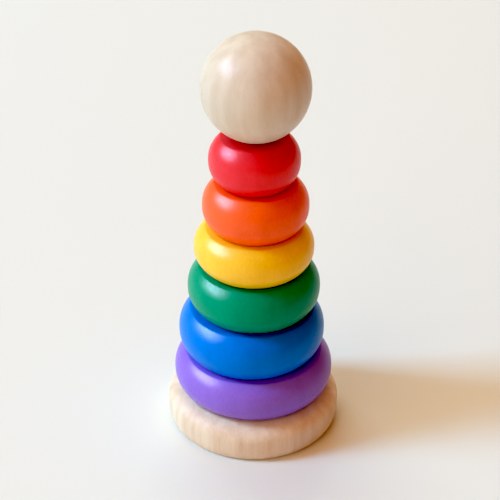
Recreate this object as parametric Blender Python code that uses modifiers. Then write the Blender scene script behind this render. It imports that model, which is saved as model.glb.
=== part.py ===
"""Wooden ring stacker: six graded rings and a ball threaded on a peg in a round base.

Every piece is turned about the vertical axis. Units are metres, +Z is up, and the
origin is the centre of the base's underside.
"""
import math

import bpy

# Driving dimensions
GAP = 0.0003  # air between two pieces that touch
EDGE_ROUND = 0.0008  # sanded edges

BASE_RADIUS = 0.04225
BASE_HEIGHT = 0.0185
BASE_SHOULDER = 0.0076  # how far the side swells beyond the flat top face
BASE_FOOT = 0.0024  # and beyond the flat underside
BASE_POWER = 3.2  # 2 would be a parabola; higher is straighter at mid height
SOCKET_DEPTH = 0.014  # blind hole that the peg is glued into

PEG_RADIUS = 0.006
PEG_TIP_ROUND = 0.0025
PEG_REACH = 0.018  # height of the peg's tip above the top ring

RING_BULGE = 0.0055
RING_POWER = 2.4
RING_BORE_RADIUS = 0.007
RINGS = (  # name, outer radius, thickness, colour, from the base upwards
    ("ring_purple", 0.0387, 0.0210, "7D4BC6"),
    ("ring_blue", 0.0353, 0.0240, "005DCB"),
    ("ring_green", 0.03175, 0.0225, "007C4E"),
    ("ring_yellow", 0.0285, 0.0205, "EEB404"),
    ("ring_orange", 0.025, 0.0230, "F74C18"),
    ("ring_red", 0.02125, 0.0230, "DC021B"),
)

BALL_RADIUS = 0.025
BALL_BORE_RADIUS = 0.0065
BALL_BORE_DEPTH = 0.023  # from the ball's lowest point

WOOD = "E0C3A0"
DOWEL_WOOD = "E6CFAC"

# Fineness of the turned surfaces
STEPS = 48
SIDE_SEGMENTS = 8
BALL_SEGMENTS = 20


def linear_colour(code):
    """Turn a six-digit sRGB code into the linear RGBA that a shader takes."""
    channels = [int(code[i:i + 2], 16) / 255 for i in (0, 2, 4)]
    return [((c + 0.055) / 1.055) ** 2.4 for c in channels] + [1.0]


def make_material(name, code, roughness):
    material = bpy.data.materials.new(name)
    material.use_nodes = True
    shader = material.node_tree.nodes["Principled BSDF"]
    shader.inputs["Base Color"].default_value = linear_colour(code)
    shader.inputs["Roughness"].default_value = roughness
    shader.inputs["Metallic"].default_value = 0.0
    return material


def barrel_side(radius, height, shoulder, foot, power):
    """Points down a swelling side, fullest at mid height, drawn in by shoulder and foot."""
    points = []
    for i in range(SIDE_SEGMENTS + 1):
        level = math.cos(math.pi * i / SIDE_SEGMENTS)
        bulge = shoulder if level > 0 else foot
        points.append((radius - bulge * abs(level) ** power, height / 2 * (1 + level)))
    return points


def add_bevel(obj, width, segments, angle):
    bevel = obj.modifiers.new("Rounded edges", "BEVEL")
    bevel.width = width
    bevel.segments = segments
    bevel.limit_method = "ANGLE"
    bevel.angle_limit = math.radians(angle)


def add_part(obj, name, material, collection, parent, height):
    """File the object in its collection and seat it on its parent's axis."""
    obj.name = name
    obj.data.name = name
    obj.data.materials.append(material)
    for owner in list(obj.users_collection):
        owner.objects.unlink(obj)
    collection.objects.link(obj)
    obj.parent = parent
    obj.location = (0, 0, height)
    obj.data.shade_smooth()
    obj.data.set_sharp_from_angle(angle=math.radians(35))
    return obj


def turned(profile, closed):
    """Spin a profile of (radius, height) points about Z."""
    count = len(profile)
    edges = [(i, i + 1) for i in range(count - 1)]
    if closed:
        edges.append((count - 1, 0))
    mesh = bpy.data.meshes.new("profile")
    mesh.from_pydata([(r, 0, z) for r, z in profile], edges, [])
    obj = bpy.data.objects.new("turned", mesh)
    screw = obj.modifiers.new("Turned", "SCREW")
    screw.axis = "Z"
    screw.angle = math.tau
    screw.steps = STEPS
    screw.render_steps = STEPS
    screw.use_smooth_shade = True
    screw.use_merge_vertices = True
    screw.merge_threshold = 0.00001
    add_bevel(obj, EDGE_ROUND, 2, 30)
    return obj


def ring_profile(radius, thickness):
    """Barrel-sided ring with flat faces and a straight bore, as a closed loop."""
    side = barrel_side(radius, thickness, RING_BULGE, RING_BULGE, RING_POWER)
    bore = [(RING_BORE_RADIUS, 0), (RING_BORE_RADIUS, thickness)]
    return side + bore


def base_profile():
    """Barrel-sided disc with a blind socket in its top face."""
    socket_radius = PEG_RADIUS + GAP
    socket_floor = BASE_HEIGHT - SOCKET_DEPTH
    socket = [(0, socket_floor), (socket_radius, socket_floor), (socket_radius, BASE_HEIGHT)]
    side = barrel_side(BASE_RADIUS, BASE_HEIGHT, BASE_SHOULDER, BASE_FOOT, BASE_POWER)
    return socket + side + [(0, 0)]


def ball_profile():
    """Sphere about the origin, with a blind bore up from its lowest point."""
    mouth_angle = math.pi - math.asin(BALL_BORE_RADIUS / BALL_RADIUS)
    points = []
    for i in range(BALL_SEGMENTS + 1):
        angle = mouth_angle * i / BALL_SEGMENTS
        points.append((BALL_RADIUS * math.sin(angle), BALL_RADIUS * math.cos(angle)))
    ceiling = BALL_BORE_DEPTH - BALL_RADIUS
    return points + [(BALL_BORE_RADIUS, ceiling), (0, ceiling)]


def ball_seat():
    """Height of the ball's centre above the ring whose rounded bore rim carries it."""
    reach = BALL_RADIUS + GAP + EDGE_ROUND
    return math.sqrt(reach ** 2 - (RING_BORE_RADIUS + EDGE_ROUND) ** 2) - EDGE_ROUND


def build():
    for obj in list(bpy.data.objects):
        bpy.data.objects.remove(obj)
    collection = bpy.data.collections.new("ring_stacker")
    bpy.context.scene.collection.children.link(collection)
    wood = make_material("beech", WOOD, 0.55)
    dowel_wood = make_material("dowel_beech", DOWEL_WOOD, 0.6)

    base = turned(base_profile(), closed=False)
    add_part(base, "base", wood, collection, None, 0)

    # Each ring rests on the piece below it and is its child, as it is when lifted.
    carrier = base
    carrier_height = BASE_HEIGHT
    stack_top = BASE_HEIGHT
    for name, radius, thickness, code in RINGS:
        ring = turned(ring_profile(radius, thickness), closed=True)
        paint = make_material(name.replace("ring", "paint"), code, 0.4)
        add_part(ring, name, paint, collection, carrier, carrier_height + GAP)
        carrier = ring
        carrier_height = thickness
        stack_top += GAP + thickness

    ball = turned(ball_profile(), closed=False)
    ball_wood = make_material("ball_beech", WOOD, 0.45)
    add_part(ball, "ball", ball_wood, collection, carrier, carrier_height + ball_seat())

    peg_foot = BASE_HEIGHT - SOCKET_DEPTH + GAP
    peg_length = stack_top + PEG_REACH - peg_foot
    bpy.ops.mesh.primitive_cylinder_add(vertices=32, radius=PEG_RADIUS, depth=peg_length)
    peg = bpy.context.object
    add_bevel(peg, PEG_TIP_ROUND, 4, 60)
    add_part(peg, "peg", dowel_wood, collection, base, peg_foot + peg_length / 2)


build()
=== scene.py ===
"""Looks for the wooden ring stacker: painted, turned rings and bare beech on a pale floor.

Lengths are in metres and the frame is the CAD's: +Z runs up the peg. Each piece takes its
size and place from its CAD node and is turned about Z, with a finer profile than the CAD's.
"""
import math

import bpy
from mathutils import Matrix, Vector, noise


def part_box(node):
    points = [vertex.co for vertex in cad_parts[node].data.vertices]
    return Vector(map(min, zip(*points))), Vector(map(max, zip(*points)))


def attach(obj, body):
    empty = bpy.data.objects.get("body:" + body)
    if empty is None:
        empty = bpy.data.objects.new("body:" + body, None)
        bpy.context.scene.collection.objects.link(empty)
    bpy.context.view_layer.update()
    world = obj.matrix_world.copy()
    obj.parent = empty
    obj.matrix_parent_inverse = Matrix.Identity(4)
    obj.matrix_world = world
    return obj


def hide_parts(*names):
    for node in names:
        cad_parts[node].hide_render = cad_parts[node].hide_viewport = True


MM = 0.001

# Fineness of the turned pieces
STEPS = 192  # round the axis
SIDE_POINTS = 44
BALL_POINTS = 110
CORNER_POINTS = 7
CORNER_REACH = 1.1  # times its width: a rounded corner takes the place of nearer points
ON_AXIS = 1e-6  # a radius under this is a point on the axis

# Shape of the turned pieces
RING_POWER = 2.4  # 2 would be a parabola; higher is straighter at mid height
BASE_POWER = 3.2
RING_BULGE = 5.5 * MM
BASE_SHOULDER = 7.6 * MM
BASE_FOOT = 2.4 * MM
EDGE_ROUND = 0.6 * MM
TIP_ROUND = 2.5 * MM
RING_BORE = 7 * MM
SOCKET_GAP = 0.3 * MM
SOCKET_DEPTH = 14 * MM
BALL_BORE = 6.5 * MM
BALL_BORE_DEPTH = 23 * MM  # from where the ball's lowest point would be
UNEVENNESS = 0.03 * MM  # left by hand sanding
UNEVEN_SIZE = 11 * MM  # width of one low spot
EDGE_REACH = 0.9 * MM  # how far an edge's wear spreads

# The loose pieces lean in their bores, so some sit a little off the peg's axis.
PLAY = {"ring_blue": -0.95 * MM, "ring_orange": 0.65 * MM, "ball": 0.45 * MM}

# Colours, as linear light
PAINTS = {
    "ring_purple": (0.272, 0.148, 0.650),
    "ring_blue": (0.001, 0.183, 0.710),
    "ring_green": (0.001, 0.290, 0.158),
    "ring_yellow": (0.955, 0.560, 0.060),
    "ring_orange": (0.930, 0.135, 0.044),
    "ring_red": (0.785, 0.047, 0.058),
}
BALL_TONES = ((0.710, 0.606, 0.500), (0.628, 0.503, 0.388))  # pale and deep
BASE_TONES = ((0.820, 0.690, 0.560), (0.690, 0.515, 0.378))
FLECK = (0.420, 0.240, 0.130)

# A number for each piece, which makes its unevenness and its grain its own
SEEDS = {node: i for i, node in enumerate(("peg", "base", *PAINTS, "ball"), start=1)}
SEED_SHIFT = Vector((17.3, 9.1, 23.7))  # in the wood, from one piece to the next

# How much each thing changes the bare wood's tone, as a share of the colour mixed in
STREAK_TONE = (0.0, 0.85)  # of the deep tone
FIBRE_TONE = (-0.1, 0.2)
FLECK_TONE = 0.14
RUBBED_TONE = 0.25  # of the pale tone, at an edge

# How much the coat of paint varies
THIN_COAT = 1.08  # brightness of the colour
THICK_COAT = 0.92
WOOD_THROUGH = 0.004  # light that a thin coat lets through from the wood
COAT_TONE = (0.0, 0.5)  # share of the thick coat that streaks add, and mottle too
WORN_TONE = (0.0, 0.35)  # share of the thin coat, at an edge

# Surfaces; a gloss is a Specular IOR Level
WOOD_GLOSS = 0.16
PAINT_GLOSS = 0.30
PEG_ROUGHNESS = 0.5
BASE_ROUGHNESS = 0.42
BALL_ROUGHNESS = 0.29
WOOD_VARIATION = (-0.05, 0.08)  # in roughness, from the fibres
PAINT_ROUGHNESS = (0.27, 0.38)
WOOD_RELIEF = 0.012 * MM
PAINT_RELIEF = 0.006 * MM
PORE_RELIEF = 0.4  # as a share of the fibres'
FLECK_RELIEF = 0.3
FIBRE_UNDER_PAINT = 0.3  # as a share of the mottle's

# Noise in the wood: its scale per millimetre along X, Y and the fibres, and its detail
FIBRE = ((1.9, 1.9, 0.07), 3.0)
STREAK = ((0.16, 0.16, 0.012), 2.0)
PORES = ((4.5, 4.5, 0.9), 1.0)
RAYS = ((1.6, 2.6, 0.33), 1.0)
MOTTLE = ((0.9, 0.9, 0.45), 2.0)
NOISE_ROUGHNESS = 0.55

# Ranges of the noise: where most of it lies, and the parts that show as a feature
MOST = (0.3, 0.7)
MOST_STREAKS = (0.33, 0.67)
MOST_FIBRES = (0.25, 0.75)
FLECK_PEAKS = (0.64, 0.74)
WORN_SPOTS = (0.35, 0.8)


# ---------------------------------------------------------------- turned shapes

def corner(before, at, after, width):
    """Points round a corner, from width before it to width after it."""
    start = at + (before - at).normalized() * width
    end = at + (after - at).normalized() * width
    points = []
    for i in range(CORNER_POINTS):
        t = i / (CORNER_POINTS - 1)
        points.append(start * (1 - t) ** 2 + at * 2 * t * (1 - t) + end * t ** 2)
    return points


def rounded(points, sharp, width):
    """The profile with each corner in sharp, a list of indices, rounded off."""
    made = []
    for i, point in enumerate(points):
        if i in sharp:
            following = points[(i + 1) % len(points)]
            made += corner(points[i - 1], point, following, width)
        elif all((point - points[c]).length > width * CORNER_REACH for c in sharp):
            made.append(point)
    return made


def barrel_side(radius, height, shoulder, foot, power):
    """Points down a swelling side, fullest at mid height, drawn in by shoulder and foot."""
    points = []
    for i in range(SIDE_POINTS + 1):
        level = math.cos(math.pi * i / SIDE_POINTS)
        bulge = shoulder if level > 0 else foot
        reach = radius - bulge * abs(level) ** power
        points.append(Vector((reach, height / 2 * (1 + level))))
    return points


def mark_edges(mesh, edges):
    """Store on each vertex how near it is to one of the profile's edges, from 0 to 1."""
    nearness = []
    for v in mesh.vertices:
        spot = Vector((math.hypot(v.co.x, v.co.y), v.co.z))
        gap = min((spot - e).length for e in edges)
        nearness.append(math.exp(-((gap / EDGE_REACH) ** 2)))
    mesh.attributes.new("edge", "FLOAT", "POINT").data.foreach_set("value", nearness)


def turned(name, profile, edges, closed, seed):
    """Spin a profile of (radius, height) points about Z, top to bottom on its outer side."""
    verts, faces, rows = [], [], []
    for radius, height in profile:
        if radius < ON_AXIS:
            rows.append([len(verts)] * STEPS)
            verts.append(Vector((0, 0, height)))
            continue
        rows.append(range(len(verts), len(verts) + STEPS))
        for i in range(STEPS):
            turn = math.tau * i / STEPS
            outward = Vector((math.cos(turn), math.sin(turn), 0))
            spot = outward * radius + Vector((0, 0, height))
            dip = UNEVENNESS * abs(noise.noise(spot / UNEVEN_SIZE + Vector((seed, 0, 0))))
            verts.append(spot - outward * dip)
    for i in range(len(rows) if closed else len(rows) - 1):
        upper, lower = rows[i], rows[(i + 1) % len(rows)]
        for k in range(STEPS):
            n = (k + 1) % STEPS
            faces.append(list(dict.fromkeys([upper[k], lower[k], lower[n], upper[n]])))
    mesh = bpy.data.meshes.new(name)
    mesh.from_pydata(verts, [], faces)
    mark_edges(mesh, edges)
    mesh.shade_smooth()
    piece = bpy.data.objects.new(name, mesh)
    bpy.context.scene.collection.objects.link(piece)
    return piece


def ring_piece(name, radius, height, seed):
    side = barrel_side(radius, height, RING_BULGE, RING_BULGE, RING_POWER)
    bore_low, bore_high = Vector((RING_BORE, 0)), Vector((RING_BORE, height))
    sharp = [0, SIDE_POINTS, SIDE_POINTS + 1, SIDE_POINTS + 2]
    points = side + [bore_low, bore_high]
    profile = rounded(points, sharp, EDGE_ROUND)
    return turned(name, profile, [points[i] for i in sharp], closed=True, seed=seed)


def base_piece(name, radius, height, socket, seed):
    floor = height - SOCKET_DEPTH
    hole = [Vector((0, floor)), Vector((socket, floor)), Vector((socket, height))]
    side = barrel_side(radius, height, BASE_SHOULDER, BASE_FOOT, BASE_POWER)
    points = hole + side + [Vector((0, 0))]
    sharp = [2, 3, 3 + SIDE_POINTS]
    profile = rounded(points, sharp, EDGE_ROUND)
    return turned(name, profile, [points[i] for i in sharp], closed=False, seed=seed)


def ball_piece(name, radius, seed):
    mouth = math.pi - math.asin(BALL_BORE / radius)
    points = []
    for i in range(BALL_POINTS + 1):
        angle = mouth * i / BALL_POINTS
        points.append(Vector((radius * math.sin(angle), radius * math.cos(angle))))
    ceiling = BALL_BORE_DEPTH - radius
    points += [Vector((BALL_BORE, ceiling)), Vector((0, ceiling))]
    profile = rounded(points, [BALL_POINTS], EDGE_ROUND)
    return turned(name, profile, [points[BALL_POINTS]], closed=False, seed=seed)


def peg_piece(name, radius, height, seed):
    tip = [Vector((0, height)), Vector((radius, height))]
    foot = [Vector((radius, 0)), Vector((0, 0))]
    points = tip + foot
    profile = rounded(points, [1, 2], TIP_ROUND)
    return turned(name, profile, [points[1]], closed=False, seed=seed)


# -------------------------------------------------------------------- materials

def feed(tree, socket, value):
    """Link value to the socket if it is another node's output, or else set it there."""
    if isinstance(value, bpy.types.NodeSocket):
        tree.links.new(value, socket)
    else:
        socket.default_value = value


def add(tree, kind, inputs, **settings):
    """A shader node with its settings, and each input set to a value or linked to a socket."""
    made = tree.nodes.new("ShaderNode" + kind)
    for key, value in settings.items():
        setattr(made, key, value)
    for key, value in inputs.items():
        feed(tree, made.inputs[key], value)
    return made


def combine(tree, operation, first, second):
    return add(tree, "Math", {0: first, 1: second}, operation=operation).outputs[0]


def remap(tree, value, low, high, to_low=0.0, to_high=1.0):
    inputs = {"Value": value, "From Min": low, "From Max": high}
    inputs.update({"To Min": to_low, "To Max": to_high})
    return add(tree, "MapRange", inputs).outputs["Result"]


def blend(tree, factor, first, second):
    """A mix of two colours, each an output socket or three numbers."""
    made = add(tree, "Mix", {"Factor": factor}, data_type="RGBA")
    first_colour, second_colour = made.inputs[6:8]  # the sockets before them mix other types
    for socket, value in ((first_colour, first), (second_colour, second)):
        feed(tree, socket, (*value, 1.0) if isinstance(value, tuple) else value)
    return made.outputs[2]


def cloud(tree, coordinates, pattern):
    """Noise with a pattern's scale and detail, its values between 0 and 1."""
    scale, detail = pattern
    stretched = add(tree, "VectorMath", {0: coordinates, 1: scale}, operation="MULTIPLY")
    inputs = {"Vector": stretched.outputs[0], "Scale": 1.0, "Detail": detail}
    inputs["Roughness"] = NOISE_ROUGHNESS
    return add(tree, "TexNoise", inputs).outputs["Fac"]


def wood_place(tree, seed):
    """Coordinates in millimetres in a block of beech whose fibres run up."""
    place = add(tree, "TexCoord", {}).outputs["Object"]
    inputs = {"Vector": place, "Location": SEED_SHIFT * seed, "Scale": (1 / MM,) * 3}
    return add(tree, "Mapping", inputs).outputs[0]


def start_material(name):
    material = bpy.data.materials.new(name)
    material.use_nodes = True
    tree = material.node_tree
    return material, tree, tree.nodes["Principled BSDF"]


def bump(tree, shader, height, depth):
    made = add(tree, "Bump", {"Height": height, "Strength": 1.0, "Distance": depth})
    tree.links.new(made.outputs[0], shader.inputs["Normal"])


def edge_nearness(tree):
    return add(tree, "Attribute", {}, attribute_name="edge").outputs["Fac"]


def bare_beech(name, tones, roughness, seed):
    material, tree, shader = start_material(name)
    pale, deep = tones
    place = wood_place(tree, seed)
    fibre = cloud(tree, place, FIBRE)
    streak = cloud(tree, place, STREAK)
    flecks = remap(tree, cloud(tree, place, RAYS), *FLECK_PEAKS)

    # Streaks and fibres deepen the tone, flecks darken it, and rubbed edges are pale.
    tone = remap(tree, streak, *MOST_STREAKS, *STREAK_TONE)
    tone = combine(tree, "ADD", tone, remap(tree, fibre, *MOST, *FIBRE_TONE))
    colour = blend(tree, tone, pale, deep)
    colour = blend(tree, combine(tree, "MULTIPLY", flecks, FLECK_TONE), colour, FLECK)
    rubbed = combine(tree, "MULTIPLY", edge_nearness(tree), RUBBED_TONE)
    colour = blend(tree, rubbed, colour, pale)
    feed(tree, shader.inputs["Base Color"], colour)

    smoothest, roughest = (roughness + change for change in WOOD_VARIATION)
    rough = remap(tree, fibre, *MOST_FIBRES, smoothest, roughest)
    feed(tree, shader.inputs["Roughness"], rough)
    feed(tree, shader.inputs["Specular IOR Level"], WOOD_GLOSS)

    # Pores add to the fibres' relief, and flecks lie lower.
    pores = combine(tree, "MULTIPLY", cloud(tree, place, PORES), PORE_RELIEF)
    height = combine(tree, "ADD", fibre, pores)
    sunk = combine(tree, "MULTIPLY", flecks, FLECK_RELIEF)
    bump(tree, shader, combine(tree, "SUBTRACT", height, sunk), WOOD_RELIEF)
    return material


def painted_beech(name, paint, seed):
    material, tree, shader = start_material(name)
    thin = tuple(min(1.0, c * THIN_COAT + WOOD_THROUGH) for c in paint)
    thick = tuple(c * THICK_COAT for c in paint)
    place = wood_place(tree, seed)
    fibre = cloud(tree, place, FIBRE)
    streak = cloud(tree, place, STREAK)
    mottle = cloud(tree, place, MOTTLE)

    # The coat is uneven, and it is worn thin in spots along the edges.
    tone = remap(tree, streak, *MOST, *COAT_TONE)
    tone = combine(tree, "ADD", tone, remap(tree, mottle, *MOST, *COAT_TONE))
    colour = blend(tree, tone, thin, thick)
    worn = combine(tree, "MULTIPLY", edge_nearness(tree), mottle)
    colour = blend(tree, remap(tree, worn, *WORN_SPOTS, *WORN_TONE), colour, thin)
    feed(tree, shader.inputs["Base Color"], colour)

    rough = remap(tree, mottle, *MOST, *PAINT_ROUGHNESS)
    feed(tree, shader.inputs["Roughness"], rough)
    feed(tree, shader.inputs["Specular IOR Level"], PAINT_GLOSS)

    grain = combine(tree, "MULTIPLY", fibre, FIBRE_UNDER_PAINT)
    bump(tree, shader, combine(tree, "ADD", mottle, grain), PAINT_RELIEF)
    return material


# ------------------------------------------------------------------- the object

def dress(piece, node, body, material, place):
    """Give a piece its material and put it where its CAD node is, on the node's body, hiding
    the node.
    """
    piece.data.materials.append(material)
    piece.location = place
    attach(piece, body)
    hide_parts(node)


def node_sizes(node):
    """Radius, height, and the place on the axis of a CAD node's lowest point."""
    low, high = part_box(node)
    centre = (low + high) / 2
    return (high.x - low.x) / 2, high.z - low.z, Vector((centre.x, centre.y, low.z))


def build_object():
    peg_radius, peg_height, peg_foot = node_sizes("peg")
    peg = peg_piece("beech_peg", peg_radius, peg_height, SEEDS["peg"])
    peg_beech = bare_beech("peg_beech", BASE_TONES, PEG_ROUGHNESS, SEEDS["peg"])
    dress(peg, "peg", "base", peg_beech, peg_foot)

    radius, height, foot = node_sizes("base")
    base = base_piece("beech_base", radius, height, peg_radius + SOCKET_GAP, SEEDS["base"])
    base_beech = bare_beech("base_beech", BASE_TONES, BASE_ROUGHNESS, SEEDS["base"])
    dress(base, "base", "base", base_beech, foot)

    for node, paint in PAINTS.items():
        radius, height, foot = node_sizes(node)
        ring = ring_piece(node.replace("ring", "painted"), radius, height, SEEDS[node])
        shift = Vector((PLAY.get(node, 0.0), 0, 0))
        material = painted_beech(node.replace("ring", "paint"), paint, SEEDS[node])
        dress(ring, node, node, material, foot + shift)

    low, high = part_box("ball")
    radius = (high.x - low.x) / 2
    ball = ball_piece("beech_ball", radius, SEEDS["ball"])
    middle = (low + high) / 2
    centre = Vector((middle.x + PLAY["ball"], middle.y, high.z - radius))
    ball_beech = bare_beech("ball_beech", BALL_TONES, BALL_ROUGHNESS, SEEDS["ball"])
    dress(ball, "ball", "ball", ball_beech, centre)


# ------------------------------------------------------------------------ stage

FLOOR_SIZE = 6.0
FLOOR_COLOUR = (0.748, 0.763, 0.750)
FLOOR_ROUGHNESS = 0.85
FLOOR_GLOSS = 0.25
FLOOR_TOOTH = 900.0  # scale of the card's fine relief, per metre
FLOOR_DETAIL = 3.0
FLOOR_RELIEF = 0.05 * MM

AIR = (0.360, 0.132, 0.034)  # light that comes evenly from all round
BACKDROP = (1.000, 0.985, 0.955)  # where the floor ends, in a low or distant view
TARGET = Vector((-0.0019, 0, 0.0943))  # what the camera and the lights point at

LIGHTS = (  # name, bearing from the left, elevation, distance, width, height, power, colour
    ("key", -6, 50, 6.4, 1.2, 1.2, 179.2, (0.29, 0.64, 1.00)),
    ("window", -3, 36, 6.4, 1.6, 1.6, 187.2, (0.32, 0.70, 1.00)),
    ("gleam", -1, 36, 6.4, 4.2, 2.6, 900.0, (0.62, 0.67, 1.00)),
    ("low_left", 0, 12, 8.8, 9.6, 3.2, 205.0, (0.50, 0.95, 1.00)),
    ("rear", 75, 41, 7.2, 6.4, 4.0, 264.0, (0.74, 1.00, 0.87)),
    ("corner", -45, 20, 8.8, 8.0, 5.2, 300.8, (1.00, 0.85, 0.62)),
    ("overhead", 0, 85, 8.8, 6.4, 6.4, 250.0, (1.00, 0.59, 0.32)),
)
HIGHLIGHT = "gleam"  # seen in reflections only; the other lights never are

CAMERA_ELEVATION = math.radians(31.24)
CAMERA_ROLL = math.radians(0.234)
CAMERA_DISTANCE = 0.6782
CAMERA_LENS = 103.2
CAMERA_SENSOR = 36.0

BLACK_LEVEL = 0.04


def build_floor():
    mesh = bpy.data.meshes.new("floor")
    half = FLOOR_SIZE / 2
    corners = [(-half, -half, 0), (half, -half, 0), (half, half, 0), (-half, half, 0)]
    mesh.from_pydata(corners, [], [(0, 1, 2, 3)])
    floor = bpy.data.objects.new("floor", mesh)
    bpy.context.scene.collection.objects.link(floor)
    material, tree, shader = start_material("matt_card")
    place = add(tree, "TexCoord", {}).outputs["Object"]
    inputs = {"Vector": place, "Scale": FLOOR_TOOTH, "Detail": FLOOR_DETAIL}
    tooth = add(tree, "TexNoise", inputs).outputs["Fac"]
    feed(tree, shader.inputs["Base Color"], (*FLOOR_COLOUR, 1.0))
    feed(tree, shader.inputs["Roughness"], FLOOR_ROUGHNESS)
    feed(tree, shader.inputs["Specular IOR Level"], FLOOR_GLOSS)
    bump(tree, shader, tooth, FLOOR_RELIEF)
    mesh.materials.append(material)


def towards(bearing, elevation):
    """Unit vector at a bearing in degrees, counted from -X towards +Y."""
    turn, lift = math.radians(bearing), math.radians(elevation)
    level = math.cos(lift)
    return Vector((-math.cos(turn) * level, math.sin(turn) * level, math.sin(lift)))


def build_lights():
    for name, bearing, elevation, distance, width, height, power, colour in LIGHTS:
        light = bpy.data.lights.new(name, "AREA")
        light.shape = "RECTANGLE"
        light.size = width
        light.size_y = height
        light.energy = power
        light.color = colour
        lamp = bpy.data.objects.new(name, light)
        direction = towards(bearing, elevation)
        lamp.location = TARGET + direction * distance
        lamp.rotation_euler = direction.to_track_quat("Z", "Y").to_euler()
        lamp.visible_glossy = name == HIGHLIGHT
        lamp.visible_diffuse = name != HIGHLIGHT
        bpy.context.scene.collection.objects.link(lamp)


def build_world():
    """The air lights the object; the camera sees the backdrop instead."""
    world = bpy.data.worlds.new("studio")
    world.use_nodes = True
    tree = world.node_tree
    lighting = tree.nodes["Background"]
    feed(tree, lighting.inputs["Color"], (*AIR, 1.0))
    backdrop = add(tree, "Background", {"Color": (*BACKDROP, 1.0)})
    seen = add(tree, "LightPath", {}).outputs["Is Camera Ray"]
    inputs = {0: seen, 1: lighting.outputs[0], 2: backdrop.outputs[0]}
    mixed = add(tree, "MixShader", inputs)
    feed(tree, tree.nodes["World Output"].inputs["Surface"], mixed.outputs[0])
    bpy.context.scene.world = world


def build_camera():
    camera = bpy.data.cameras.new("camera")
    camera.lens = CAMERA_LENS
    camera.sensor_width = CAMERA_SENSOR
    back = Vector((0, -math.cos(CAMERA_ELEVATION), math.sin(CAMERA_ELEVATION)))
    holder = bpy.data.objects.new("camera", camera)
    holder.location = TARGET + back * CAMERA_DISTANCE
    turn = back.to_track_quat("Z", "Y").to_matrix() @ Matrix.Rotation(CAMERA_ROLL, 3, "Z")
    holder.rotation_euler = turn.to_euler()
    bpy.context.scene.collection.objects.link(holder)
    bpy.context.scene.camera = holder


def grade():
    """Plain colours, with the faintest light cut to black for a crisper contrast."""
    view = bpy.context.scene.view_settings
    view.view_transform = "Standard"
    view.use_curve_mapping = True
    view.curve_mapping.black_level = (BLACK_LEVEL,) * 3
    view.curve_mapping.update()


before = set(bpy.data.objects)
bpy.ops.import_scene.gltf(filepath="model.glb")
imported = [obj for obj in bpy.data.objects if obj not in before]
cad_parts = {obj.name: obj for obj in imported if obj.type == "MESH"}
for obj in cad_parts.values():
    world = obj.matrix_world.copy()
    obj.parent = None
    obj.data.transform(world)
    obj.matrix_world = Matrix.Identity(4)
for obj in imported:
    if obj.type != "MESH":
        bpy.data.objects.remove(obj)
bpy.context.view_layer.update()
build_object()
build_floor()
build_lights()
build_world()
build_camera()
grade()
